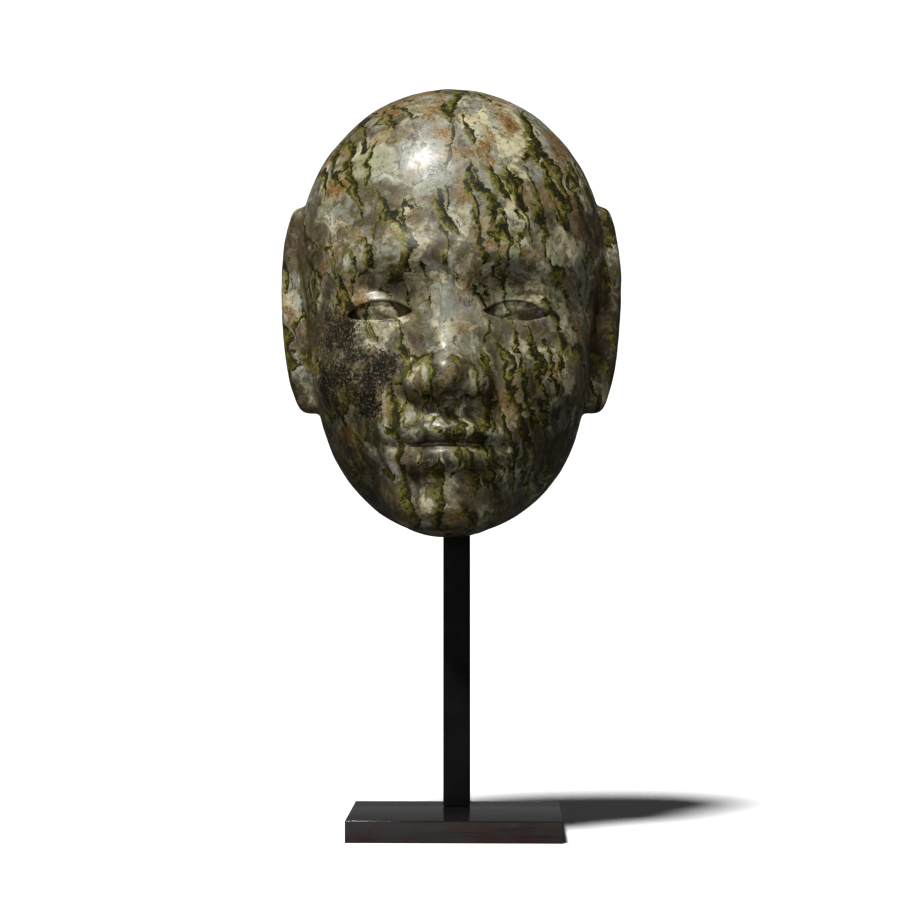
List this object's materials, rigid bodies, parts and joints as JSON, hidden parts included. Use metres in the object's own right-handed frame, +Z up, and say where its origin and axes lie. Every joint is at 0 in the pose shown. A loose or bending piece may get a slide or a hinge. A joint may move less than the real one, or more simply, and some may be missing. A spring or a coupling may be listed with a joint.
{
  "type": "carved greenstone face mask on a steel stand",
  "caption": "Hollow-backed face mask carved from streaked greenstone, hung on a square steel post that rises from a flat rectangular steel foot.",
  "frame": {"origin": "middle of the foot's underside", "axes": "+Z up along the post, the mask looks along -Y, and +X is at the right of someone who faces the mask"},
  "size_m": [0.1278, 0.0783, 0.2775],
  "materials": {
    "greenstone": "polished, with pitted and weathered patches",
    "blackened steel": "satin black",
    "browned steel": "brushed, browned and waxed"
  },
  "bodies": {
    "root": {"mask": "greenstone", "post": "blackened steel", "foot": "browned steel"}
  },
  "joints": []
}
